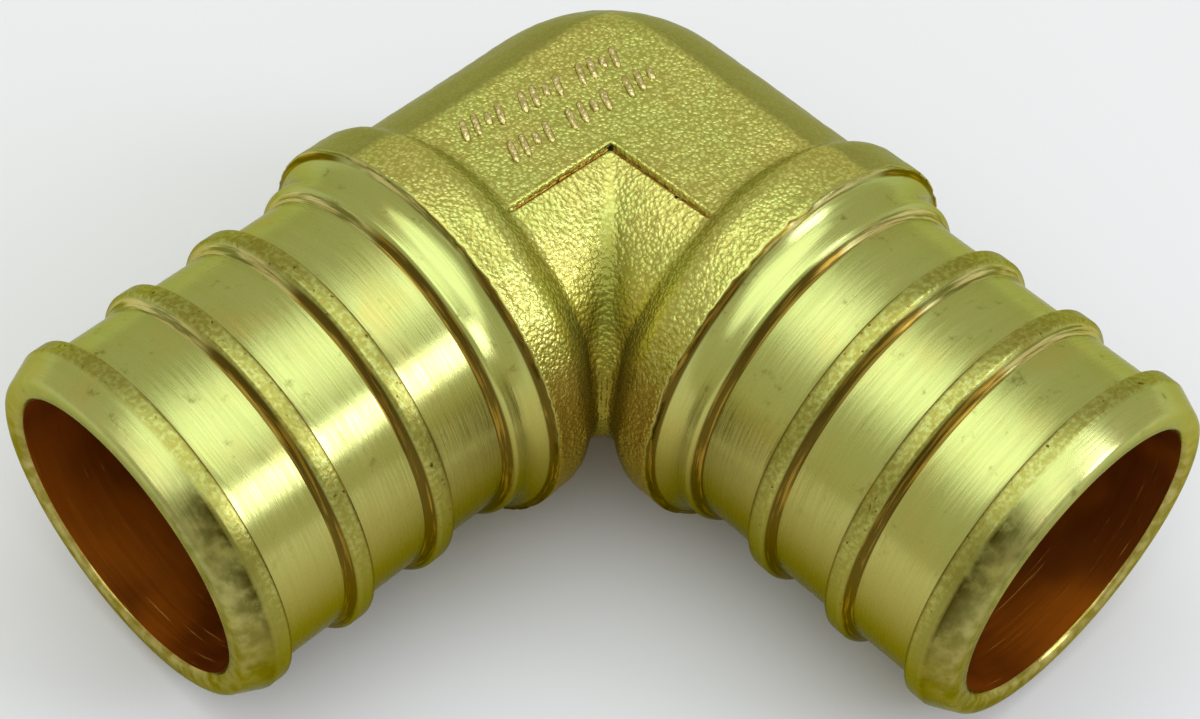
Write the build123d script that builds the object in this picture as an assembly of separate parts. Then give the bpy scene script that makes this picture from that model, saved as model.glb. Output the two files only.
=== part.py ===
"""One-inch crimp elbow for plastic pipe: a forged brass corner with two turned, ribbed insert ends."""
import math
import os

from build123d import *

# A size called "along" is measured on an end's own axis, from the point where the two axes meet.

# ---- ribs and grooves of the turned insert ends ----
RIB_RADIUS = 11.28
GROOVE_DEPTH = 0.68
RIB_COUNT = 3
RIB_PITCH = 5.85
RIB_LAND = 1.15
RIB_RAMP = 0.80
RAMP_TOP_ROUND = 0.30
RAMP_FOOT_ROUND = 0.45
BACK_CORNER_ROUND = 0.12
FIRST_GROOVE = 4.80

# ---- nose and end face ----
NOSE_LENGTH = 2.80
NOSE_LAND = 0.95
NOSE_TAPER = 0.86
NOSE_ROUND = 0.80

# ---- pipe stop: a turned root band and the hollow that runs up to the collar ----
ROOT_BAND = 0.60
STOP_HOLLOW_ROUND = 1.60

# ---- forged collars, each a little further out on its axis than its own radius ----
COLLAR_RISE = 1.12
COLLAR_OFFSET = 0.35
COLLAR_LENGTH = 4.65
COLLAR_FLANK_DEG = 48.0
COLLAR_CROWN_ROUND = 2.00
COLLAR_FOOT_ROUND = 1.10

# ---- forged corner: heel side with its flat land, inner side with its valley ----
HEEL_DROP = 0.95
LAND_DROP = 0.90
LAND_RIM_ROUND = 1.50
LAND_STEP = 0.21
LAND_INNER_DRAFT_DEG = 2.0
LAND_CORNER_ROUND = 0.45
INNER_NECK_DROP = 0.40
INNER_TOP_DROP = 0.10
VALLEY_ROUND = 3.00

# ---- waterway: turned bores that run into the forged throat ----
GROOVE_WALL = 1.55
BORE_LENGTH = 27.10
BORE_MOUTH_BEVEL = 0.30
THROAT_STEP = 0.30

# ---- sizes that follow from those above ----
GROOVE_RADIUS = RIB_RADIUS - GROOVE_DEPTH
NOSE_TIP_RADIUS = RIB_RADIUS - NOSE_TAPER
COLLAR_RADIUS = RIB_RADIUS + COLLAR_RISE
HEEL_RADIUS = COLLAR_RADIUS - HEEL_DROP
INNER_NECK_RADIUS = HEEL_RADIUS - INNER_NECK_DROP
LAND_HEIGHT = HEEL_RADIUS - LAND_DROP
LAND_INNER_EDGE = math.sqrt(INNER_NECK_RADIUS**2 - (LAND_HEIGHT - LAND_STEP) ** 2)
BORE_RADIUS = GROOVE_RADIUS - GROOVE_WALL
THROAT_RADIUS = BORE_RADIUS - THROAT_STEP
COLLAR_CROWN_ALONG = COLLAR_RADIUS + COLLAR_OFFSET
COLLAR_JOIN_ALONG = COLLAR_CROWN_ALONG + COLLAR_LENGTH / 2
STOP_FOOT_ALONG = COLLAR_CROWN_ALONG + COLLAR_LENGTH
ROOT_BAND_END_ALONG = STOP_FOOT_ALONG + ROOT_BAND
FIRST_RIB_ALONG = ROOT_BAND_END_ALONG + FIRST_GROOVE
LAST_RIB_ALONG = FIRST_RIB_ALONG + (RIB_COUNT - 1) * RIB_PITCH
END_FACE_ALONG = LAST_RIB_ALONG + NOSE_LENGTH
BORE_DEPTH_ALONG = END_FACE_ALONG - BORE_LENGTH

# ---- placing and helpers ----
BEND_OFFSET = (END_FACE_ALONG - COLLAR_RADIUS) / 2
REACH = 60.0
ON_SURFACE = 0.02


def half_section(corners, rounds, arc=None):
    """Closed half section, along the axis in X and radius in Y, with some of its corners rounded."""
    with BuildSketch() as section:
        with BuildLine():
            Polyline(*corners, close=arc is None)
            if arc:
                TangentArc(arc[0], arc[1], tangent=(-1, 0))
        make_face()
        for corner, radius in rounds:
            fillet(section.vertices().sort_by_distance(corner)[0], radius)
    return section.sketch


def flank_along(radius):
    """Where the sloping inner flank of a collar has a given radius."""
    return COLLAR_CROWN_ALONG - (COLLAR_RADIUS - radius) / math.tan(math.radians(COLLAR_FLANK_DEG))


def collar_section():
    """A collar from its crown down its inner flank, deep enough to root in the neck."""
    root = (flank_along(THROAT_RADIUS), THROAT_RADIUS)
    crown = (COLLAR_CROWN_ALONG, COLLAR_RADIUS)
    join = (COLLAR_JOIN_ALONG, COLLAR_RADIUS)
    corners = [(root[0], 0), root, crown, join, (COLLAR_JOIN_ALONG, 0)]
    return half_section(corners, [(crown, COLLAR_CROWN_ROUND)])


def turned_section():
    """A turned insert end: pipe stop, root band, ribs that ramp up from the mouth side, and nose."""
    stop_rise = COLLAR_RADIUS - RIB_RADIUS
    stop_run = math.sqrt(STOP_HOLLOW_ROUND**2 - (STOP_HOLLOW_ROUND - stop_rise) ** 2)
    stop_foot = (STOP_FOOT_ALONG, RIB_RADIUS)
    stop_edge = (STOP_FOOT_ALONG - stop_run, COLLAR_RADIUS)

    corners = [stop_foot]
    rounds = []
    land_end = ROOT_BAND_END_ALONG
    for index in range(RIB_COUNT):
        back = FIRST_RIB_ALONG + index * RIB_PITCH
        ramp_top = (land_end, RIB_RADIUS)
        ramp_foot = (land_end + RIB_RAMP, GROOVE_RADIUS)
        back_foot = (back, GROOVE_RADIUS)
        corners += [ramp_top, ramp_foot, back_foot, (back, RIB_RADIUS)]
        rounds += [(ramp_top, RAMP_TOP_ROUND), (ramp_foot, RAMP_FOOT_ROUND), (back_foot, BACK_CORNER_ROUND)]
        land_end = back + RIB_LAND
    nose_tip = (END_FACE_ALONG, NOSE_TIP_RADIUS)
    corners += [(back + NOSE_LAND, RIB_RADIUS), nose_tip, (END_FACE_ALONG, 0)]
    corners += [(COLLAR_JOIN_ALONG, 0), (COLLAR_JOIN_ALONG, COLLAR_RADIUS), stop_edge]
    rounds.append((nose_tip, NOSE_ROUND))
    return half_section(corners, rounds, arc=(stop_foot, stop_edge))


def bore_section():
    """The waterway of one end: forged throat, turned bore and bevelled mouth."""
    step = BORE_RADIUS - THROAT_RADIUS
    corners = [(0, 0), (0, THROAT_RADIUS), (BORE_DEPTH_ALONG - step, THROAT_RADIUS)]
    corners += [(BORE_DEPTH_ALONG, BORE_RADIUS), (END_FACE_ALONG - BORE_MOUTH_BEVEL, BORE_RADIUS)]
    corners += [(END_FACE_ALONG, BORE_RADIUS + BORE_MOUTH_BEVEL), (END_FACE_ALONG, 0)]
    return half_section(corners, [])


def land_plan():
    """The flat land seen from above: an L whose two inner edges are drawn in towards the ends."""
    far = LAND_INNER_EDGE + REACH
    near = LAND_INNER_EDGE - REACH * math.tan(math.radians(LAND_INNER_DRAFT_DEG))
    inner = (LAND_INNER_EDGE, LAND_INNER_EDGE)
    corners = [inner, (far, near), (far, -REACH), (-REACH, -REACH), (-REACH, far), (near, far)]
    return half_section(corners, [(inner, LAND_CORNER_ROUND)])


def neck(radius):
    """Solid neck on the X axis, from the bend to inside the collar."""
    return Pos(COLLAR_JOIN_ALONG / 2, 0, 0) * Rot(0, 90, 0) * Cylinder(radius, COLLAR_JOIN_ALONG)


def both_ends(solid):
    """A solid made for the X end, joined with its mirror twin on the Y end."""
    return solid + mirror(solid, Plane(origin=(0, 0, 0), z_dir=(1, -1, 0)))


def above_axes(solid, top=REACH):
    """What lies between the plane of the two axes and a given height."""
    return solid & Pos(0, 0, top / 2) * Box(2 * REACH, 2 * REACH, top)


def both_faces(half):
    """The upper half of the forging joined with its mirror twin below the parting plane."""
    return half + mirror(half, Plane.XY)


def edges_where(solid, test):
    """Edges whose middle and quarter points all pass a test."""
    return [edge for edge in solid.edges() if all(test(edge @ part) for part in (0.25, 0.5, 0.75))]


def on_flank_below(point, top):
    """True for a point on the inner flank of either collar, no further out than a given radius."""
    reaches = ((point.X, math.hypot(point.Y, point.Z)), (point.Y, math.hypot(point.X, point.Z)))
    return any(abs(along - flank_along(radius)) < ON_SURFACE and radius < top for along, radius in reaches)


def on_land_rim(point):
    """True for a point on the outer edge of the flat land."""
    inside = max(point.X, point.Y) < COLLAR_CROWN_ALONG - ON_SURFACE
    return abs(point.Z - LAND_HEIGHT) < ON_SURFACE and min(point.X, point.Y) < 0 and inside


def in_valley(point):
    """True for a point on the diagonal where the two inner necks meet."""
    return abs(point.X - point.Y) < ON_SURFACE and point.X > LAND_INNER_EDGE / 2


collars = above_axes(both_ends(revolve(collar_section(), Axis.X)))
land_prism = extrude(land_plan(), REACH)

# Heel side: round necks and a ball-shaped heel, cut flat by the land, with the collars flaring out of them.
heel = above_axes(both_ends(neck(HEEL_RADIUS)) + Sphere(HEEL_RADIUS), LAND_HEIGHT)
heel = fillet(edges_where(heel, on_land_rim), LAND_RIM_ROUND)
heel = (heel + collars) & land_prism
heel_feet = edges_where(heel, lambda p: on_flank_below(p, HEEL_RADIUS + ON_SURFACE))
heel = fillet(heel_feet, COLLAR_FOOT_ROUND)

# Inner side: slightly thinner necks that meet in a round valley, one small step below the land.
inner = above_axes(both_ends(neck(INNER_NECK_RADIUS)), LAND_HEIGHT - INNER_TOP_DROP)
inner = fillet(edges_where(inner, in_valley), VALLEY_ROUND) + collars - land_prism

forging = both_faces(heel) + both_faces(inner)
blank = forging + both_ends(revolve(turned_section(), Axis.X))
waterway = both_ends(revolve(bore_section(), Axis.X)) + Sphere(THROAT_RADIUS)
elbow_body = Pos(-BEND_OFFSET, -BEND_OFFSET, 0) * (blank - waterway)

os.makedirs("parts", exist_ok=True)
export_step(elbow_body, "parts/elbow_body.step")
print("elbow", round(elbow_body.volume), "mm3, valid", elbow_body.is_valid, "faces", len(elbow_body.faces()))
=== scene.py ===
"""The looks of a one-inch brass crimp elbow: forged corner, turned ribbed ends and drilled waterway."""
import math

import bpy
import numpy as np
from mathutils import Matrix, Vector


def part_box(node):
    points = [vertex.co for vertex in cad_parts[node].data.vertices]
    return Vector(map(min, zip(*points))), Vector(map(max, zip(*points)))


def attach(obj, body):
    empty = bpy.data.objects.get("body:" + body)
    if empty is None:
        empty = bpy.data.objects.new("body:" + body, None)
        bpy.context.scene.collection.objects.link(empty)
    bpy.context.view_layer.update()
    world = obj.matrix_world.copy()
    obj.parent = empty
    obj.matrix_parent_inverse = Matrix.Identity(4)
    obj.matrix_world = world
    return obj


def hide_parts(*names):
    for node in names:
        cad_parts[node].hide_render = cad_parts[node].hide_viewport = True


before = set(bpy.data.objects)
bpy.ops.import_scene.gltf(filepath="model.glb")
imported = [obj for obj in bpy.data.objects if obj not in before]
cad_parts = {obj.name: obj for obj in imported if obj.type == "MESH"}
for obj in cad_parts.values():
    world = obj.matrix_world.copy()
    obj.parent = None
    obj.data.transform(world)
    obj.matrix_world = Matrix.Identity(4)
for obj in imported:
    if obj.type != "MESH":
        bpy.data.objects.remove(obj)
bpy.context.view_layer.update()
MM = 0.001
LOW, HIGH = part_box("elbow_body")

# ---- sizes in mm; places along an end are measured on its own axis, from where the two axes meet ----
COLLAR_RADIUS = HIGH[2] / MM
BEND = -LOW[0] / MM - COLLAR_RADIUS
END_FACE = HIGH[0] / MM + BEND
RIB_RADIUS = COLLAR_RADIUS - 1.12
GROOVE_RADIUS = RIB_RADIUS - 0.68
NOSE_TIP_RADIUS = RIB_RADIUS - 0.86
NOSE_LAND = 0.95
NOSE_ROUND = 0.48
NOSE_BACK_ROUND = 0.15
TAPER_RUN = 0.25
TAPER_DROP = 0.115
HEEL_RADIUS = COLLAR_RADIUS - 0.95
INNER_RADIUS = HEEL_RADIUS - 0.40
LAND_HEIGHT = HEEL_RADIUS - 0.90
LAND_EDGE = 3.76
LAND_DRAFT = math.radians(2.0)
LAND_RIM_ROUND = 0.90
LAND_CORNER_ROUND = 0.25
STEP_EDGE_ROUND = 0.12
STEP_FOOT_ROUND = 0.03
STEP_DROP = 0.10
VALLEY_ROUND = 3.00
VALLEY_CREASE = 1.20
HEEL_FOOT_ROUND = 1.10
INNER_FOOT_ROUND = 0.90
CROWN = COLLAR_RADIUS + 0.35
CROWN_ROUND = 2.00
CROWN_FLANK = math.radians(48.0)
INNER_EASE = math.radians(12.0)
FLANK_FOOT = CROWN - (COLLAR_RADIUS - INNER_RADIUS) / math.tan(CROWN_FLANK)
STOP_FOOT = CROWN + 4.65
STOP_ROUND = 1.60
STOP_SWEEP = math.acos(1 - (COLLAR_RADIUS - RIB_RADIUS) / STOP_ROUND)
STOP_EDGE = STOP_FOOT - STOP_ROUND * math.sin(STOP_SWEEP)
# From this turn on the stop's hollow is steep and takes the ramps' painted shade.
STOP_SHADE_FROM = 0.85
BAND_END = STOP_FOOT + 0.60
FIRST_RIB = BAND_END + 4.80
RIB_PITCH = 5.85
RIB_COUNT = 3
RIB_LAND = 0.98
RIB_RAMP = 0.50
RIB_BACK_ROUND = 0.09
RIB_BACK_FOOT_ROUND = 0.12
RAMP_TOP_ROUND = 0.20
RAMP_FOOT_ROUND = 0.22
LAST_RIB = FIRST_RIB + (RIB_COUNT - 1) * RIB_PITCH
BORE_RADIUS = GROOVE_RADIUS - 1.55
BORE_DEPTH = END_FACE - 27.10
MOUTH_BEVEL = 0.30
THROAT_RADIUS = BORE_RADIUS - 0.30

# ---- small marks of the forging in mm, the first three as (height or depth, place, width) ----
STEP_GROOVE = (0.17, 0.09, 0.11)
STEP_LIP = (0.05, -0.20, 0.12)
VALLEY_FLASH = (0.10, 0.0, 0.13)
PARTING_HEIGHT = 0.12
PARTING_WIDTH = 0.45
SWELL = 0.020
LUMPS = 0.011
WAVE_TOP = 1.6
RAGGED = 0.07

# ---- mesh: points round a section, loops, and the pivots that the cutting planes turn about ----
AROUND = 240
CORNER_LOOPS = 174
THROAT_LOOPS = 30
PIVOT = 13.7
THROAT_PIVOT = BORE_DEPTH - 0.30
EDGE_ANGLE = math.atan2(LAND_HEIGHT, LAND_EDGE)

# ---- how a ray finds a surface: from a place inside it, in plain steps and then by its slope ----
CORNER_CORE = 9.6
THROAT_CORE = 5.0
MARCH_STEPS = 40
MARCH_PLAIN_STEPS = 16
MARCH_PACE = 0.9
LEAST_SLOPE = 0.7


def smooth(value, low, high):
    """0 below low, 1 above high, and an S-curve between them."""
    t = np.clip((value - low) / (high - low), 0, 1)
    return t * t * (3 - 2 * t)


def fade(value, low, high):
    """1 below low, 0 above high, and an S-curve between them."""
    return smooth(-value, -high, -low)


def bell(value, middle, width):
    """1 in the middle, and a bell curve down to 0 on both sides."""
    return np.exp(-(((value - middle) / width) ** 2))


def row_angles(crowding=5.5, spread=math.radians(2.3)):
    """Angles of the mesh rows round a section, crowded where the land's edge crosses it."""
    fine = np.linspace(-math.pi, math.pi, 20001)
    count = np.cumsum(1 + crowding * bell(np.abs(fine), EDGE_ANGLE, spread))
    return np.interp((np.arange(AROUND) + 0.5) / AROUND * count[-1], count, fine)


ROWS = row_angles()


# ================================================================ solid fields of the forged corner
# Each field gives, for an array of points, the signed distance to a surface and the way out of it.
def nearest_of(a, b, sign=1):
    """Union (sign 1) or overlap (sign -1) of two (distance, gradient) fields, with a sharp edge."""
    first = sign * a[0] < sign * b[0]
    return np.where(first, a[0], b[0]), np.where(first[:, None], a[1], b[1])


def joined(a, b, radius):
    """Union of two fields whose inner edge is a true round of the given radius."""
    (da, ga), (db, gb) = a, b
    c = np.clip(np.sum(ga * gb, axis=1), -0.999, 0.9995)
    fa, fb = radius - da, radius - db
    part_a = (fa - c * fb) / (1 - c * c)
    part_b = (fb - c * fa) / (1 - c * c)
    reach = part_a[:, None] * ga + part_b[:, None] * gb
    size = np.linalg.norm(reach, axis=1)
    rounded = (part_a > 0) & (part_b > 0)
    dist, grad = nearest_of(a, b)
    dist = np.where(rounded, radius - size, dist)
    grad = np.where(rounded[:, None], reach / np.maximum(size, 1e-9)[:, None], grad)
    return dist, grad


def shared(a, b, radius):
    """Overlap of two fields whose outer edge is a true round of the given radius."""
    dist, grad = joined((-a[0], -a[1]), (-b[0], -b[1]), radius)
    return -dist, -grad


def flat(p, point, normal):
    """A half space behind the plane through a point, with the plane's normal pointing out."""
    normal = np.array(normal) / np.linalg.norm(normal)
    return (p - np.array(point)) @ normal, np.broadcast_to(normal, p.shape)


def neck(p, axis, radius):
    """Round bar from the bend outwards along one axis, with a ball end at the bend."""
    q = p.copy()
    q[:, axis] = np.minimum(q[:, axis], 0)
    size = np.maximum(np.linalg.norm(q, axis=1), 1e-9)
    return size - radius, q / size[:, None]


def collar(p, axis):
    """One end's collar: a flank, gentler on the bend's inner side, that rolls over into the top."""
    q = p.copy()
    q[:, axis] = 0
    r = np.maximum(np.linalg.norm(q, axis=1), 1e-9)
    out = q / r[:, None]
    inner = smooth(out[:, 1 - axis], 0.1, 0.7)
    flank = CROWN_FLANK - INNER_EASE * inner
    crown = FLANK_FOOT + (COLLAR_RADIUS - INNER_RADIUS) / np.tan(flank)
    cos, sin = np.cos(flank), np.sin(flank)
    side = (r - COLLAR_RADIUS) * cos - (p[:, axis] - crown) * sin
    side_grad = out * cos[:, None]
    side_grad[:, axis] -= sin
    return shared((side, side_grad), (r - COLLAR_RADIUS, out), CROWN_ROUND)


def land_side(p):
    """Signed distance in plan to the inner edge of the L-shaped land, negative on the land."""
    corner = (LAND_EDGE, LAND_EDGE, 0)
    x_arm = flat(p, corner, (math.sin(LAND_DRAFT), math.cos(LAND_DRAFT), 0))
    y_arm = flat(p, corner, (math.cos(LAND_DRAFT), math.sin(LAND_DRAFT), 0))
    return joined(x_arm, y_arm, LAND_CORNER_ROUND)


def off_diagonal(p):
    """How far a point lies from the plane that mirrors one end into the other."""
    return (p[:, 0] - p[:, 1]) / math.sqrt(2)


def inside_bend(p):
    """How far a point lies on the inner side of both axes, negative towards the heel."""
    return np.minimum(p[:, 0], p[:, 1])


def step_gate(p):
    """1 where the land's edge stands free on top and below, 0 in the collars and on the sides."""
    before_collar = fade(np.maximum(p[:, 0], p[:, 1]), 11.15, 11.75)
    return before_collar * smooth(np.abs(p[:, 2]), 6.5, 7.5) * smooth(inside_bend(p), 2.5, 3.2)


def forging(p):
    """The forged corner: heel with its flat land, inner necks with their valley, and both collars."""
    q = p.copy()
    q[:, 2] = np.abs(q[:, 2])
    collars = nearest_of(collar(q, 0), collar(q, 1))
    heel = nearest_of(neck(q, 0, HEEL_RADIUS), neck(q, 1, HEEL_RADIUS))
    heel = shared(heel, flat(q, (0, 0, LAND_HEIGHT), (0, 0, 1)), LAND_RIM_ROUND)
    heel = joined(heel, collars, HEEL_FOOT_ROUND)
    side = land_side(q)
    heel = shared(heel, side, STEP_EDGE_ROUND)
    valley = VALLEY_ROUND - (VALLEY_ROUND - VALLEY_CREASE) * smooth(q[:, 2], 2.0, 5.5)
    inner = joined(neck(q, 0, INNER_RADIUS), neck(q, 1, INNER_RADIUS), valley)
    inner = nearest_of(inner, flat(q, (0, 0, LAND_HEIGHT - STEP_DROP), (0, 0, 1)), -1)
    inner = joined(inner, collars, INNER_FOOT_ROUND)
    dist, grad = joined(heel, inner, STEP_FOOT_ROUND)
    groove = STEP_GROOVE[0] * bell(side[0], *STEP_GROOVE[1:]) - STEP_LIP[0] * bell(side[0], *STEP_LIP[1:])
    inner_side = smooth(inside_bend(p), 3.0, 6.0)
    ridge = PARTING_HEIGHT * np.exp(-q[:, 2] / PARTING_WIDTH)
    flash = VALLEY_FLASH[0] * bell(off_diagonal(q), *VALLEY_FLASH[1:]) * fade(q[:, 2], 2.5, 3.1)
    return dist + groove * step_gate(q) - (ridge + flash) * inner_side, grad


def throat(p):
    """The waterway at the bend: two round bars that end in a ball, with a sharp mitre between them."""
    return nearest_of(neck(p, 0, THROAT_RADIUS), neck(p, 1, THROAT_RADIUS))


# ================================================================ loops of the one closed surface
def on_leg(leg, along, radius):
    """A ring of points round one end's axis; along and radius may vary round it."""
    along = np.broadcast_to(along, ROWS.shape)
    side, up = radius * np.cos(ROWS), radius * np.sin(ROWS)
    return np.stack([along, side, up] if leg == "x" else [side, along, up], axis=1)


def section(turn, pivot, follow):
    """Centre and rays of a plane turned about the pivot; its rows may follow the land's edge."""
    way = np.array([math.sin(turn), math.cos(turn), 0.0])
    centre = np.array([pivot, pivot, 0.0]) - pivot / max(way[0], way[1]) * way
    rows = ROWS
    if follow:
        normal = np.array([math.sin(LAND_DRAFT), math.cos(LAND_DRAFT)])
        if turn > math.pi / 4:
            normal = normal[::-1]
        edge = (LAND_EDGE * normal.sum() - centre[:2] @ normal) / (way[:2] @ normal)
        shift = math.atan2(LAND_HEIGHT, edge) - EDGE_ANGLE
        close = fade(np.abs(np.abs(ROWS) - EDGE_ANGLE), math.radians(5), math.radians(30))
        rows = ROWS + np.sign(ROWS) * shift * close
    rays = np.cos(rows)[:, None] * way + np.sin(rows)[:, None] * np.array([0.0, 0.0, 1.0])
    return np.broadcast_to(centre, rays.shape), rays


def swept(field, pivot, loops, start, follow=False):
    """Rings where planes through the pivot cut a field's surface, from the X end round to the Y end."""
    sections = [section(turn, pivot, follow) for turn in np.linspace(0, math.pi / 2, loops + 1)]
    centre = np.concatenate([pair[0] for pair in sections])
    rays = np.concatenate([pair[1] for pair in sections])
    far = np.full(len(rays), start)
    for step in range(MARCH_STEPS):
        dist, grad = field(centre + far[:, None] * rays)
        slope = np.clip(np.sum(grad * rays, axis=1), LEAST_SLOPE, 1) if step > MARCH_PLAIN_STEPS else 1.0
        far = far - MARCH_PACE * dist / slope
    return list((centre + far[:, None] * rays).reshape(loops + 1, AROUND, 3))


def rounded_path(corners, steps=4):
    """A path of (along, radius, band) through corners of (along, radius, round, band), rounds as arcs."""
    path = []
    for index, (x, y, size, band) in enumerate(corners):
        if not size:
            path.append((x, y, band))
            continue
        here = np.array([x, y])
        to_last = np.array(corners[index - 1][:2]) - here
        to_next = np.array(corners[index + 1][:2]) - here
        to_last /= np.linalg.norm(to_last)
        to_next /= np.linalg.norm(to_next)
        half = math.acos(np.clip(to_last @ to_next, -1, 1)) / 2
        middle = here + (to_last + to_next) / np.linalg.norm(to_last + to_next) * size / math.sin(half)
        start = here + to_last * size / math.tan(half) - middle
        end = here + to_next * size / math.tan(half) - middle
        sweep = math.atan2(start[0] * end[1] - start[1] * end[0], start @ end)
        for part in np.linspace(0, sweep, steps):
            cos, sin = math.cos(part), math.sin(part)
            path.append((*(middle + np.array([[cos, -sin], [sin, cos]]) @ start), band))
    return path


def turned_path():
    """Profile of a turned end, from the bore's mouth over nose and ribs down to the stop's hollow."""
    nose_back = LAST_RIB + NOSE_LAND
    corners = [
        (END_FACE - MOUTH_BEVEL, BORE_RADIUS, 0, "mouth"),
        (END_FACE, BORE_RADIUS + MOUTH_BEVEL, 0, "mouth"),
        (END_FACE, NOSE_TIP_RADIUS, NOSE_ROUND, "rim"),
        (nose_back + TAPER_RUN, RIB_RADIUS - TAPER_DROP, 0, "taper"),
        (nose_back, RIB_RADIUS, NOSE_BACK_ROUND, "nose"),
    ]
    for index in reversed(range(RIB_COUNT)):
        back = FIRST_RIB + index * RIB_PITCH
        front = back - RIB_PITCH + RIB_LAND if index else BAND_END
        foot = front + RIB_RAMP
        floor_width = back - front - RIB_RAMP
        corners += [
            (back + 0.3, RIB_RADIUS, 0, "crest"),
            (back, RIB_RADIUS, RIB_BACK_ROUND, "back"),
            (back, GROOVE_RADIUS, RIB_BACK_FOOT_ROUND, "foot"),
            (back - floor_width * 0.12, GROOVE_RADIUS, 0, "groove"),
            (back - floor_width * 0.85, GROOVE_RADIUS, 0, "groove"),
            (foot + 0.17, GROOVE_RADIUS, 0, "groove"),
            (foot, GROOVE_RADIUS, RAMP_FOOT_ROUND, "ramp"),
            (front + 0.5 * RIB_RAMP, (GROOVE_RADIUS + RIB_RADIUS) / 2, 0, "slope"),
            (front, RIB_RADIUS, RAMP_TOP_ROUND, "crest" if index else "band"),
        ]
    corners.append((STOP_FOOT, RIB_RADIUS, 0, "band"))
    path = rounded_path(corners)
    # The steep part of the stop's hollow is marked for the ramps' painted shade.
    for turn in np.linspace(0.12, STOP_SWEEP, 9):
        along = STOP_FOOT - STOP_ROUND * math.sin(turn)
        radius = RIB_RADIUS + STOP_ROUND * (1 - math.cos(turn))
        path.append((along, radius, "steep" if turn > STOP_SHADE_FROM else "hollow"))
    return path


rng = np.random.default_rng(11)


def waves(count, longest, shortest):
    """Random plane waves for smooth unevenness: a function from points to about -1..1."""
    length = np.exp(rng.uniform(math.log(shortest), math.log(longest), count))
    way = rng.normal(size=(count, 3))
    k = way / np.linalg.norm(way, axis=1)[:, None] * (2 * math.pi / length)[:, None]
    phase = rng.uniform(0, 2 * math.pi, count)
    return lambda p: np.sin(p @ k.T + phase).sum(axis=1) / math.sqrt(count)


forging_swell = waves(14, 9.0, 2.5)
forging_lumps = waves(30, 1.7, 0.7)
edge_wander = waves(16, 3.5, 0.45)


def leg_loops(leg):
    """Rings of one turned end, its ragged edge and the collar behind, in to the first cutting plane."""
    path = turned_path()
    rings = [on_leg(leg, along, radius) for along, radius, band in path[:-1]]
    bands = [band for along, radius, band in path[:-1]]
    edge = on_leg(leg, STOP_EDGE, COLLAR_RADIUS)
    # The turning ends in a small bevel, whose edge wanders along the collar.
    ragged = RAGGED * edge_wander(edge)
    rings.append(on_leg(leg, STOP_EDGE + 0.02 + ragged, COLLAR_RADIUS - 0.06))
    rings.append(on_leg(leg, STOP_EDGE - 0.14 + ragged, COLLAR_RADIUS - 0.01))
    bands += ["edge", "collar"]
    for along in np.linspace(STOP_EDGE - 0.45, PIVOT, 9)[:-1]:
        rings.append(on_leg(leg, along, COLLAR_RADIUS))
        bands.append("collar")
    return rings, bands


def bore_loops(leg):
    """Rings of one drilled bore, from its mouth in to the throat."""
    alongs = [END_FACE - 0.35, END_FACE - 3, END_FACE - 8, END_FACE - 15, BORE_DEPTH + 2, BORE_DEPTH]
    return [on_leg(leg, along, BORE_RADIUS) for along in alongs]


x_rings, leg_bands = leg_loops("x")
y_rings = leg_loops("y")[0]
corner = swept(forging, PIVOT, CORNER_LOOPS, CORNER_CORE, follow=True)
throat_rings = swept(throat, THROAT_PIVOT, THROAT_LOOPS, THROAT_CORE)
x_bore, y_bore = bore_loops("x"), bore_loops("y")
grid = np.array(x_rings + corner + y_rings[::-1] + y_bore + throat_rings[::-1] + x_bore[::-1])
outer_bands = leg_bands + ["corner"] * len(corner) + leg_bands[::-1]
inner_bands = ["bore"] * len(y_bore) + ["throat"] * len(throat_rings) + ["bore"] * len(x_bore)
bands = np.array(outer_bands + inner_bands)
x_side = np.array([ring[:, 0].mean() > ring[:, 1].mean() for ring in grid])

# Forged skin is a little uneven; it only ever dips, so that the part keeps its size.
# It eases off at the ragged edge, so that the turned ends stay true.
skin = np.isin(bands, ["corner", "collar"])
points = grid[skin].reshape(-1, 3)
ease = smooth(STOP_EDGE - points.max(axis=1), 0.2, 0.9)
dip = (SWELL * (WAVE_TOP + forging_swell(points)) + LUMPS * (WAVE_TOP + forging_lumps(points))) * ease
inward = points.copy()
on_x = points[:, 0] > points[:, 1]
inward[on_x, 0] = 0
inward[~on_x, 1] = 0
inward /= np.maximum(np.linalg.norm(inward, axis=1), 1e-9)[:, None]
grid[skin] = (points - inward * np.maximum(dip, 0)[:, None]).reshape(-1, AROUND, 3)

# ---- masks that the materials read, one number for each point of the mesh ----
BAND_MASKS = {
    # The ramp mask is painted shade: dark brown on ramps, rib back edges and feet, the ragged edge and the
    # stop's steep hollow.
    "ramp": {"ramp": 1.0, "slope": 1.0, "steep": 0.85, "edge": 1.0, "foot": 0.3, "back": 0.5},
    "worn": {"crest": 1.0, "back": 0.9, "nose": 0.9, "edge": 0.6},
    "stain": {"rim": 0.6, "taper": 1.0, "nose": 0.5},
    "lip": {"rim": 0.4, "mouth": 0.7},
}
PITS = (((LAND_EDGE + 0.13, LAND_EDGE + 0.13), 0.20), ((LAND_EDGE + 0.05, 9.1), 0.15))

flat_grid = grid.reshape(-1, 3)
height = flat_grid[:, 2]
toward_bend = inside_bend(flat_grid)
on_skin = np.repeat(skin, AROUND)
up, inner_part = np.tile(np.sin(ROWS), len(bands)), np.tile(np.cos(ROWS), len(bands))
masks = {}
for name, levels in BAND_MASKS.items():
    masks[name] = np.repeat([levels.get(band, 0.0) for band in bands], AROUND)

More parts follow.
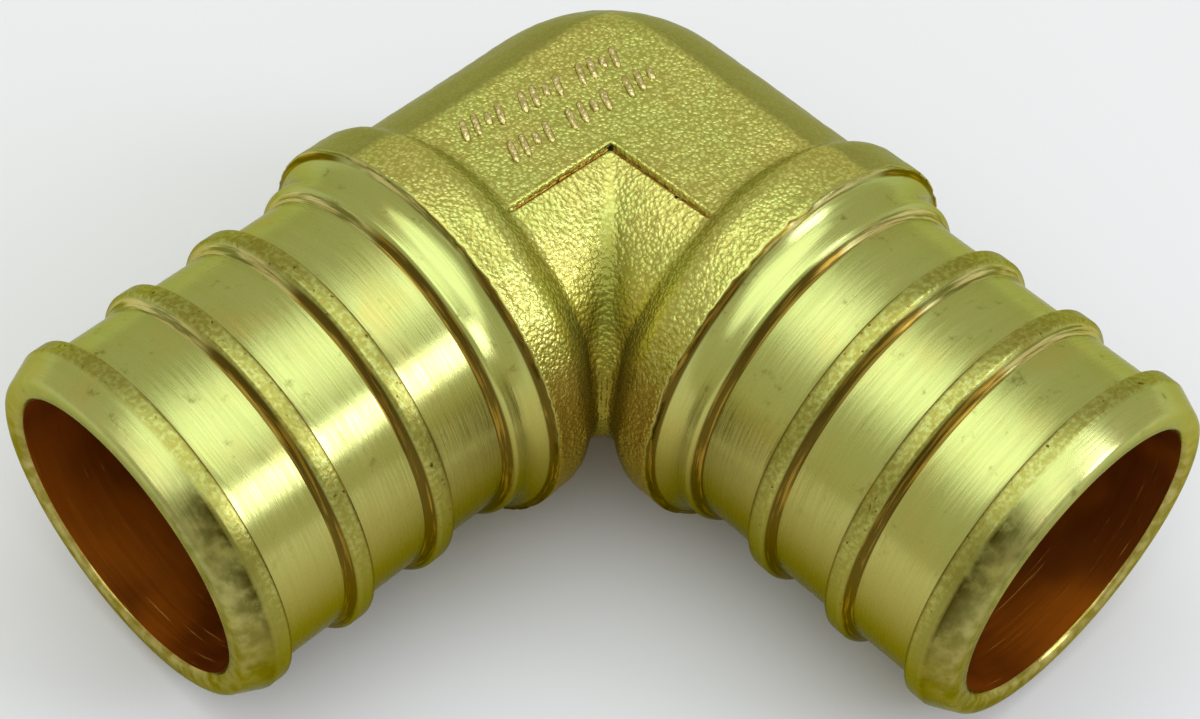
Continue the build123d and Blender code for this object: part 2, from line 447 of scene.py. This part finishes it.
# Painted shade and painted highlight: ramps, rib edges, the ragged edge and the stop's steep hollow are
# painted dark where they look down or inwards, and bright where they face up and out.
stop_shade = fade(up, 0.8, 0.99)
ramp_shade_side = smooth(inner_part, -0.25, 0.25)
shaded_side = np.where(np.repeat(bands == "steep", AROUND), stop_shade, ramp_shade_side)
masks["ramp_highlight"] = masks["ramp"] * (1 - shaded_side)
masks["ramp"] *= shaded_side

# Tarnish sits on the nose, on the side that faces the other end.
masks["stain"] *= fade(up, 0.80, 0.96) * smooth(inner_part, -0.1, 0.4) * (0.5 + 0.5 * smooth(up, 0.0, 0.4))

# Painted shade: the brass is painted warmer and darker downwards, and the heel is painted a darker olive as
# shade and is also smoother than the rest.
masks["under_shade"] = fade(height / COLLAR_RADIUS, -0.10, 0.45)
masks["low"] = fade(height / COLLAR_RADIUS, 0.12, 0.80)
masks["heel"] = smooth(-toward_bend, 4.3, 4.9) * on_skin

# Painted shade lies in the groove along the step, and two small pits are black.
step_side = land_side(np.abs(flat_grid))[0]
masks["step_crease_shade"] = bell(step_side, 0.10, 0.13) * step_gate(flat_grid) * on_skin
pits = [bell(np.hypot(flat_grid[:, 0] - x, flat_grid[:, 1] - y), 0, size) for (x, y), size in PITS]
masks["pit"] = sum(pits) * on_skin * (height > 5)

# Painted shade darkens the valley's line more than its sides, most of all away from the middle plane.
masks["valley"] = bell(off_diagonal(flat_grid), 0, 1.3) * fade(np.abs(height), 7.0, 10.3) * on_skin
masks["valley"] *= smooth(toward_bend, 4.0, 7.0) * (0.6 + 0.4 * smooth(np.abs(height), 1.0, 6.0))

# Which material a ring takes: 0 forged, 1 and 2 turned about X and Y, 3 and 4 bored along X and Y.
kinds = np.where(skin, 0, np.where(np.isin(bands, ["bore", "throat"]), 3, 1) + ~x_side)


def closed_tube(name):
    """One closed mesh from rings that meet end to end, with a face material for each kind of ring."""
    count = len(grid)
    places = (flat_grid - np.array([BEND, BEND, 0])) * MM
    i, j = np.meshgrid(np.arange(count), np.arange(AROUND), indexing="ij")
    i, j = i.ravel(), j.ravel()
    after, beside = (i + 1) % count, (j + 1) % AROUND
    this_ring, next_ring = i * AROUND, after * AROUND
    faces = np.stack([this_ring + j, next_ring + j, next_ring + beside, this_ring + beside], axis=1)
    mesh = bpy.data.meshes.new(name)
    mesh.from_pydata(places.tolist(), [], faces.tolist())
    face_kind = np.where(kinds[i] == 0, kinds[after], kinds[i])
    mesh.polygons.foreach_set("material_index", face_kind.astype(np.int32))
    mesh.polygons.foreach_set("use_smooth", np.ones(len(faces), bool))
    mesh.set_sharp_from_angle(angle=math.radians(50))
    for key, values in masks.items():
        mesh.attributes.new(key, "FLOAT", "POINT").data.foreach_set("value", values.astype(np.float32))
    mesh.update()
    tube = bpy.data.objects.new(name, mesh)
    bpy.context.scene.collection.objects.link(tube)
    return tube


elbow = closed_tube("brass_elbow")


# ================================================================ plain raised marks on the land
# Rows as (start, end, places) in mm; in each group of places the middle bar is short and the last is bare.
MARK_ROWS = (((9.2, -2.6), (-2.0, -0.9), 15), ((8.3, 0.5), (-1.8, 1.4), 13))
MARK_GROUP = 5
MARK_LEAN = 0.35
MARK_HALF_LENGTH = 0.92
SHORT_HALF_LENGTH = 0.50
MARK_HALF_WIDTH = 0.23
MARK_RISE = 0.20
MARK_SINK = 0.04
MARK_SLICES = 12
MARK_ARC = 8


def bar_faces(first):
    """Faces of one closed bar whose points start at an index: rounded top, flat underside, two ends."""
    ring = MARK_ARC + 1
    last = first + MARK_SLICES * ring
    faces = []
    for here in range(first, last, ring):
        faces += [(a, a + 1, a + 1 + ring, a + ring) for a in range(here, here + MARK_ARC)]
        faces.append((here, here + ring, here + ring + MARK_ARC, here + MARK_ARC))
    faces.append(tuple(range(first + MARK_ARC, first - 1, -1)))
    faces.append(tuple(range(last, last + ring)))
    return faces


def raised_marks(name):
    """Two rows of short slanted bars, half sunk in the land, where a real fitting has its cast marks."""
    verts, faces = [], []
    for start, end, count in MARK_ROWS:
        start, end = np.array(start), np.array(end)
        run = (end - start) / np.linalg.norm(end - start)
        lean = np.array([run[0] * MARK_LEAN - run[1], run[1] * MARK_LEAN + run[0]])
        lean /= np.linalg.norm(lean)
        beside = np.array([-lean[1], lean[0]])
        for place in range(count):
            in_group = place % MARK_GROUP
            if in_group == MARK_GROUP - 1:
                continue
            middle = start + (end - start) * place / (count - 1)
            length = SHORT_HALF_LENGTH if in_group == MARK_GROUP // 2 else MARK_HALF_LENGTH
            faces += bar_faces(len(verts))
            for part in np.linspace(-1, 1, MARK_SLICES + 1):
                swell = math.sqrt(max(1 - part**4, 0.02))
                width = MARK_HALF_WIDTH * swell
                for turn in np.linspace(0, math.pi, MARK_ARC + 1):
                    spot = middle + lean * length * part + beside * width * math.cos(turn)
                    rise = MARK_RISE * math.sin(turn) * swell - MARK_SINK
                    verts.append((*(spot - BEND), LAND_HEIGHT + rise))
    mesh = bpy.data.meshes.new(name)
    mesh.from_pydata([tuple(np.array(v) * MM) for v in verts], [], faces)
    mesh.polygons.foreach_set("use_smooth", np.ones(len(faces), bool))
    mesh.update()
    marks = bpy.data.objects.new(name, mesh)
    bpy.context.scene.collection.objects.link(marks)
    return marks


marks = raised_marks("plain_raised_marks")


# ================================================================ materials
class Look:
    """A node material with short calls for the nodes that the brass finishes share."""

    def __init__(self, name):
        self.mat = bpy.data.materials.new(name)
        self.mat.use_nodes = True
        self.tree = self.mat.node_tree
        self.shader = self.tree.nodes["Principled BSDF"]
        self.place = self.scaled(self.add("ShaderNodeTexCoord").outputs["Object"], 1 / MM)

    def add(self, kind, inputs=None, **settings):
        node = self.tree.nodes.new(kind)
        for key, value in settings.items():
            setattr(node, key, value)
        self.feed(node, inputs or {})
        return node

    def feed(self, node, inputs):
        for key, value in inputs.items():
            if isinstance(value, bpy.types.NodeSocket):
                self.tree.links.new(value, node.inputs[key])
            else:
                node.inputs[key].default_value = value

    def feed_at(self, node, index, value):
        """Feeds an input by its place, with a plain colour given as three numbers."""
        self.feed(node, {index: (*value, 1) if isinstance(value, tuple) else value})

    def calc(self, operation, a, b=0.0, clamp=False):
        return self.add("ShaderNodeMath", {0: a, 1: b}, operation=operation, use_clamp=clamp).outputs[0]

    def times(self, a, b):
        return self.calc("MULTIPLY", a, b)

    def vector(self, operation, a, b):
        return self.add("ShaderNodeVectorMath", {0: a, 1: b}, operation=operation).outputs[0]

    def scaled(self, vector, factor):
        return self.add("ShaderNodeVectorMath", {0: vector, "Scale": factor}, operation="SCALE").outputs[0]

    def mask(self, name):
        return self.add("ShaderNodeAttribute", attribute_name=name).outputs["Fac"]

    def noise(self, scale, detail=2.0, rough=0.5, stretch=(1, 1, 1)):
        """Noise with a cell of about 1/scale mm, stretched along the axes."""
        place = self.vector("MULTIPLY", self.place, stretch)
        inputs = {"Vector": place, "Scale": scale, "Detail": detail, "Roughness": rough}
        return self.add("ShaderNodeTexNoise", inputs).outputs["Fac"]

    def cells(self, scale, warp):
        """Distance from the middle of small irregular grains, about scale of them per mm."""
        place = self.vector("ADD", self.place, self.scaled((GRAIN_WARP, GRAIN_WARP, GRAIN_WARP), warp))
        inputs = {"Vector": place, "Scale": scale, "Smoothness": 0.35}
        return self.add("ShaderNodeTexVoronoi", inputs, feature="SMOOTH_F1").outputs["Distance"]

    def band(self, value, low, high, to_low=0.0, to_high=1.0):
        """Smoothly maps a value from one range to another."""
        inputs = {"Value": value, "From Min": low, "From Max": high, "To Min": to_low, "To Max": to_high}
        return self.add("ShaderNodeMapRange", inputs, interpolation_type="SMOOTHSTEP").outputs[0]

    def mix(self, amount, first, second):
        """Mixes two colours; the Mix node's colour sockets are inputs 6 and 7 and output 2."""
        node = self.add("ShaderNodeMix", data_type="RGBA")
        for index, value in ((0, amount), (6, first), (7, second)):
            self.feed_at(node, index, value)
        return node.outputs[2]

    def bump(self, height, depth_mm, below=None):
        inputs = {"Height": height, "Distance": depth_mm * MM, "Strength": 1.0}
        if below:
            inputs["Normal"] = below
        return self.add("ShaderNodeBump", inputs).outputs[0]


# ---- colours of the finishes; the two tints are for reflections at a grazing angle ----
PALE_BRASS = (0.47, 0.51, 0.165)
WARM_BRASS = (0.50, 0.46, 0.130)
GREEN_BRASS = (0.41, 0.47, 0.130)
# The next two are painted shade, warmer and darker towards the bottom.
LOW_SHADE_GOLD = (0.52, 0.43, 0.095)
UNDER_SHADE_BRASS = (0.27, 0.215, 0.03)
CREST_GOLD = (0.28, 0.25, 0.040)
FORGED_GREEN = (0.57, 0.62, 0.17)
# Painted shade of the forged skin towards the bottom.
FORGED_UNDER_SHADE = (0.39, 0.25, 0.028)
FORGED_GOLD = (0.61, 0.59, 0.17)
FORGED_LOWS = (0.34, 0.29, 0.045)
# Painted shade on the heel, the bend's outer side.
HEEL_SHADE_OLIVE = (0.28, 0.28, 0.08)
MARK_GOLD = (0.78, 0.66, 0.33)
# Painted shade along the valley's line.
VALLEY_SHADE = (0.14, 0.15, 0.017)
# Brown for wear nicks and for the ramps' painted shade; cream is a painted highlight and orange a painted
# shade on the ramps.
NICK_AND_SHADE_BROWN = (0.110, 0.066, 0.006)
RAMP_HIGHLIGHT_CREAM = (0.75, 0.62, 0.26)
RAMP_SHADE_ORANGE = (0.36, 0.21, 0.025)
# Painted shade in the groove along the step.
STEP_SHADE_BROWN = (0.24, 0.125, 0.014)
# Olive for real stains and for the dark streaks of the ramps' painted highlight.
STAIN_AND_SHEEN_OLIVE = (0.12, 0.115, 0.014)
TARNISH = (0.060, 0.045, 0.004)
LIP_BRASS = (0.62, 0.53, 0.20)
PIT_BLACK = (0.010, 0.007, 0.003)
# The bore's dark browns are partly tarnish and partly painted shade.
BORE_TARNISH_AND_SHADE_BROWN = (0.17, 0.042, 0.004)
BORE_TARNISH_AND_SHADE_ORANGE = (0.36, 0.095, 0.005)
BORE_SCRATCH = (0.55, 0.28, 0.05)
EDGE_TINT = (0.62, 0.61, 0.33, 1.0)
BORE_TINT = (0.50, 0.22, 0.05, 1.0)

# ---- texture of the surfaces; depths and warp in mm, the stretches draw noise out round an end ----
GRAINS_PER_MM = 3.9
GRAIN_WARP = 0.35
GRAIN_DEPTH = 0.050
SCRATCH_STRETCH = 0.035
SCRATCH_DEPTH = 0.012
CREST_DEPTH = 0.024
BORE_STRETCH = 0.03
BORE_SCRATCH_DEPTH = 0.01


def round_axis(axis, stretch):
    """Noise stretch for lines round one end's axis."""
    return (1.0, stretch, stretch) if axis == 0 else (stretch, 1.0, stretch)


def forged_look(name, green, gold):
    """Grainy forged skin: small round grains with dark gold between them, with painted shade downwards, on
    the heel, in the valley and in the step's groove.
    """
    look = Look(name)
    warp = look.noise(2.0, 2.0)
    grains = look.cells(GRAINS_PER_MM, warp)
    fine = look.noise(9.0, 1.0)
    patches = look.noise(0.22, 3.0)
    heel_shade_and_smoothness = look.mask("heel")
    colour = look.mix(look.band(patches, 0.35, 0.65), green, gold)
    colour = look.mix(look.band(grains, 0.30, 0.62, 0.0, 0.6), colour, FORGED_LOWS)
    # Painted shade: warmer and darker towards the bottom.
    colour = look.mix(look.times(look.mask("low"), 0.95), colour, FORGED_UNDER_SHADE)
    # Painted shade along the valley's line.
    colour = look.mix(look.times(look.mask("valley"), 0.85), colour, VALLEY_SHADE)
    # Painted shade: the heel is darker olive; the same mask also smooths its grains below.
    colour = look.mix(look.times(heel_shade_and_smoothness, 0.8), colour, HEEL_SHADE_OLIVE)
    wander = look.band(look.noise(3.0, 2.0), 0.3, 0.6, 0.6, 1.0)
    # Painted shade in the groove along the step's edge.
    painted_step_shade = look.times(look.mask("step_crease_shade"), wander)
    colour = look.mix(look.band(painted_step_shade, 0.15, 0.75), colour, STEP_SHADE_BROWN)
    colour = look.mix(look.band(look.mask("pit"), 0.25, 0.7), colour, PIT_BLACK)
    height = look.calc("SUBTRACT", look.times(fine, 0.3), grains)
    height = look.times(height, look.band(heel_shade_and_smoothness, 0.0, 1.0, 1.0, 0.35))
    rough = look.band(fine, 0.3, 0.7, 0.25, 0.38)
    look.feed(look.shader, {"Base Color": colour, "Metallic": 0.88, "Roughness": rough})
    look.feed(look.shader, {"Specular Tint": EDGE_TINT, "Normal": look.bump(height, GRAIN_DEPTH)})
    return look.mat


def turned_look(name, axis):
    """Turned brass: fine scratches round the axis, worn rib crests, painted shade and highlights on the
    ramps and hollows, and painted shade downwards.
    """
    look = Look(name)
    stretch = round_axis(axis, SCRATCH_STRETCH)
    rings = look.noise(7.0, 3.0, 0.6, stretch)
    wide_rings = look.noise(1.3, 2.0, 0.5, stretch)
    patches = look.noise(0.20, 3.0)
    stains = look.noise(0.9, 4.0, 0.65)
    grain = look.noise(3.4, 5.0, 0.62)
    nicks = look.noise(2.3, 3.0, 0.55)
    worn, ramp = look.mask("worn"), look.mask("ramp")
    colour = look.mix(look.band(patches, 0.48, 0.75), PALE_BRASS, WARM_BRASS)
    colour = look.mix(look.band(wide_rings, 0.62, 0.40, 0.0, 0.35), colour, GREEN_BRASS)
    colour = look.mix(look.band(stains, 0.60, 0.76, 0.0, 0.6), colour, STAIN_AND_SHEEN_OLIVE)
    # Painted shade: warmer and darker towards the bottom.
    colour = look.mix(look.times(look.mask("low"), 0.7), colour, LOW_SHADE_GOLD)
    colour = look.mix(look.times(look.mask("under_shade"), 0.9), colour, UNDER_SHADE_BRASS)
    blotches = look.band(look.noise(0.50, 6.0, 0.62), 0.30, 0.54, 0.4, 1.0)
    colour = look.mix(look.times(look.mask("stain"), blotches), colour, TARNISH)
    polish = look.band(look.noise(1.2, 4.0), 0.35, 0.65, 0.0, 0.8)
    colour = look.mix(look.times(look.mask("lip"), polish), colour, LIP_BRASS)
    crest = look.times(worn, look.band(grain, 0.64, 0.42, 0.20, 0.85))
    colour = look.mix(crest, colour, CREST_GOLD)
    colour = look.mix(look.times(worn, look.band(nicks, 0.66, 0.72)), colour, NICK_AND_SHADE_BROWN)
    # Painted shade on the ramps: dark brown with orange streaks, on the sides that look down or inwards.
    painted_ramp_shade = look.mix(look.band(rings, 0.50, 0.66), NICK_AND_SHADE_BROWN, RAMP_SHADE_ORANGE)
    colour = look.mix(look.band(ramp, 0.15, 0.7, 0.0, 0.95), colour, painted_ramp_shade)
    # Painted highlight on the ramps: cream and olive streaks, on the sides that face up and out.
    painted_ramp_highlight = look.mix(look.band(rings, 0.36, 0.60), STAIN_AND_SHEEN_OLIVE, RAMP_HIGHLIGHT_CREAM)
    colour = look.mix(look.band(look.mask("ramp_highlight"), 0.25, 0.95, 0.0, 0.75), colour, painted_ramp_highlight)
    rough = look.calc("ADD", look.band(rings, 0.3, 0.7, 0.20, 0.33), look.times(worn, 0.06))
    height = look.times(rings, look.calc("SUBTRACT", 1.0, worn, True))
    normal = look.bump(height, SCRATCH_DEPTH)
    normal = look.bump(look.times(grain, worn), CREST_DEPTH, normal)
    centre = (0, -BEND, 0) if axis == 0 else (-BEND, 0, 0)
    arm = look.vector("SUBTRACT", look.place, centre)
    scratch_way = look.vector("CROSS_PRODUCT", (1, 0, 0) if axis == 0 else (0, 1, 0), arm)
    facing = look.add("ShaderNodeNewGeometry").outputs["Normal"]
    tangent = look.vector("CROSS_PRODUCT", facing, scratch_way)
    look.feed(look.shader, {"Base Color": colour, "Metallic": 1.0, "Roughness": rough, "Anisotropic": 0.75})
    look.feed(look.shader, {"Tangent": tangent, "Normal": normal, "Specular Tint": EDGE_TINT})
    return look.mat


def bore_look(name, axis):
    """Drilled waterway: dark brown, partly tarnish and partly painted shade of the deep bore, with a few
    bright scratches round it.
    """
    look = Look(name)
    stretch = round_axis(axis, BORE_STRETCH)
    rings = look.noise(6.0, 3.0, 0.6, stretch)
    patches = look.noise(0.15, 2.0)
    colour = look.mix(look.band(patches, 0.35, 0.65), BORE_TARNISH_AND_SHADE_BROWN, BORE_TARNISH_AND_SHADE_ORANGE)
    colour = look.mix(look.band(rings, 0.66, 0.74), colour, BORE_SCRATCH)
    rough = look.band(rings, 0.3, 0.7, 0.40, 0.52)
    look.feed(look.shader, {"Base Color": colour, "Metallic": 0.75, "Roughness": rough})
    look.feed(look.shader, {"Normal": look.bump(rings, BORE_SCRATCH_DEPTH), "Specular Tint": BORE_TINT})
    return look.mat


elbow_looks = [
    forged_look("brass_forged", FORGED_GREEN, FORGED_GOLD),
    turned_look("brass_turned_x", 0),
    turned_look("brass_turned_y", 1),
    bore_look("brass_bore_x", 0),
    bore_look("brass_bore_y", 1),
]
for mat in elbow_looks:
    elbow.data.materials.append(mat)
marks.data.materials.append(forged_look("brass_marks", MARK_GOLD, MARK_GOLD))

for piece in (elbow, marks):
    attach(piece, "root")
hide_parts("elbow_body")

# ================================================================ floor, light and camera
FLOOR_HALF = 1.6
FLOOR_GREY = (0.68, 0.68, 0.68, 1)
WORLD_COLOUR = (1.0, 0.96, 0.76, 1)
WORLD_LIGHT = 0.62

floor_mesh = bpy.data.meshes.new("floor")
floor_corners = [(x * FLOOR_HALF, y * FLOOR_HALF, 0) for x, y in ((-1, -1), (1, -1), (1, 1), (-1, 1))]
floor_mesh.from_pydata(floor_corners, [], [(0, 1, 2, 3)])
floor = bpy.data.objects.new("floor", floor_mesh)
floor.location.z = LOW[2]
bpy.context.scene.collection.objects.link(floor)
floor_mat = bpy.data.materials.new("floor")
floor_mat.use_nodes = True
floor_shader = floor_mat.node_tree.nodes["Principled BSDF"]
floor_shader.inputs["Base Color"].default_value = FLOOR_GREY
floor_shader.inputs["Roughness"].default_value = 0.9
floor_mesh.materials.append(floor_mat)

world = bpy.data.worlds.new("studio")
bpy.context.scene.world = world
world.use_nodes = True
world.node_tree.nodes["Background"].inputs["Color"].default_value = WORLD_COLOUR
world.node_tree.nodes["Background"].inputs["Strength"].default_value = WORLD_LIGHT


def softbox(name, direction, distance, size, power, colour):
    """A square lamp that looks at the part from a direction; sizes in metres and power in watts."""
    light = bpy.data.lights.new(name, "AREA")
    light.shape = "SQUARE"
    light.size = size
    light.energy = power
    light.color = colour
    lamp = bpy.data.objects.new(name, light)
    way = Vector(direction).normalized()
    lamp.location = way * distance
    lamp.rotation_euler = way.to_track_quat("Z", "Y").to_euler()
    bpy.context.scene.collection.objects.link(lamp)


softbox("overhead", (0.14, 0.14, 0.98), 1.2, 1.72, 14.0, (0.92, 1.0, 1.15))
softbox("right_lamp", (-0.448, 0.732, 0.513), 0.9, 0.30, 1.9, (0.95, 1.0, 1.35))

CAM_AZIMUTH = math.radians(133.989)
CAM_ELEVATION = math.radians(51.499)
CAM_ROLL = math.radians(2.335)
CAM_DISTANCE = 156.53
CAM_SIDE = -0.422
CAM_RISE = -9.953
CAM_LENS = 76.45

# The camera looks at the bend, moved sideways and up in its own picture by CAM_SIDE and CAM_RISE mm.
flatness = math.cos(CAM_ELEVATION)
back = Vector((
    math.sin(CAM_AZIMUTH) * flatness,
    -math.cos(CAM_AZIMUTH) * flatness,
    math.sin(CAM_ELEVATION),
))
level = (-back).cross(Vector((0, 0, 1))).normalized()
upward = level.cross(-back)
right = math.cos(CAM_ROLL) * level + math.sin(CAM_ROLL) * upward
top = -math.sin(CAM_ROLL) * level + math.cos(CAM_ROLL) * upward
spot = back * CAM_DISTANCE + right * CAM_SIDE + top * CAM_RISE - Vector((BEND, BEND, 0))
camera_data = bpy.data.cameras.new("camera")
camera_data.lens = CAM_LENS
camera_data.clip_start = 0.005
camera = bpy.data.objects.new("camera", camera_data)
camera.matrix_world = Matrix.Translation(spot * MM) @ Matrix((right, top, back)).transposed().to_4x4()
bpy.context.scene.collection.objects.link(camera)
bpy.context.scene.camera = camera
bpy.context.scene.view_settings.view_transform = "Standard"
